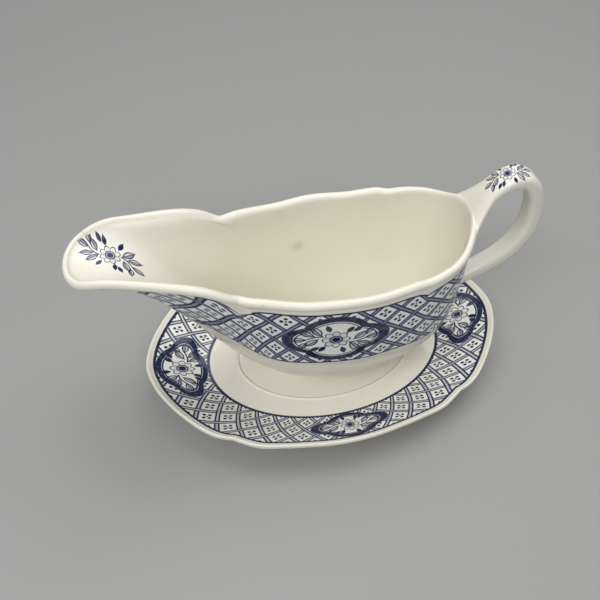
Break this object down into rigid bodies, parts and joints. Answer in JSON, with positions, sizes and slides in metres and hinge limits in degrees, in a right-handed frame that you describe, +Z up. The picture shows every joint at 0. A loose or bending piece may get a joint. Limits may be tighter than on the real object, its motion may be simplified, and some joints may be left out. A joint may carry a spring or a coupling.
{
  "type": "gravy boat with stand",
  "caption": "Cream-glazed earthenware gravy boat with blue trellis print, lobed rim, pouring lip and loop handle, standing loose on its own oval stand.",
  "frame": {"origin": "middle of the whole piece on the table top, under the foot ring of the stand", "axes": "+X along the boat towards its handle, +Y across the boat, +Z up"},
  "size_m": [0.2118, 0.125, 0.1159],
  "materials": {
    "bowl_glaze": "glossy cream glaze over a blue print",
    "handle_glaze": "glossy cream glaze with a small blue sprig",
    "stand_glaze": "glossy cream glaze over a blue print",
    "foot_glaze": "glossy cream glaze, worn on the land"
  },
  "bodies": {
    "stand": {"stand_dish": "stand_glaze", "stand_foot_ring": "foot_glaze"},
    "boat": {"boat_bowl": "bowl_glaze", "boat_foot_ring": "foot_glaze", "boat_handle": "handle_glaze"}
  },
  "joints": [
    {"name": "boat_lift", "type": "slide", "parent": "stand", "child": "boat", "axis": [0, 0, 1], "range_m": [0, 0.08]}
  ]
}
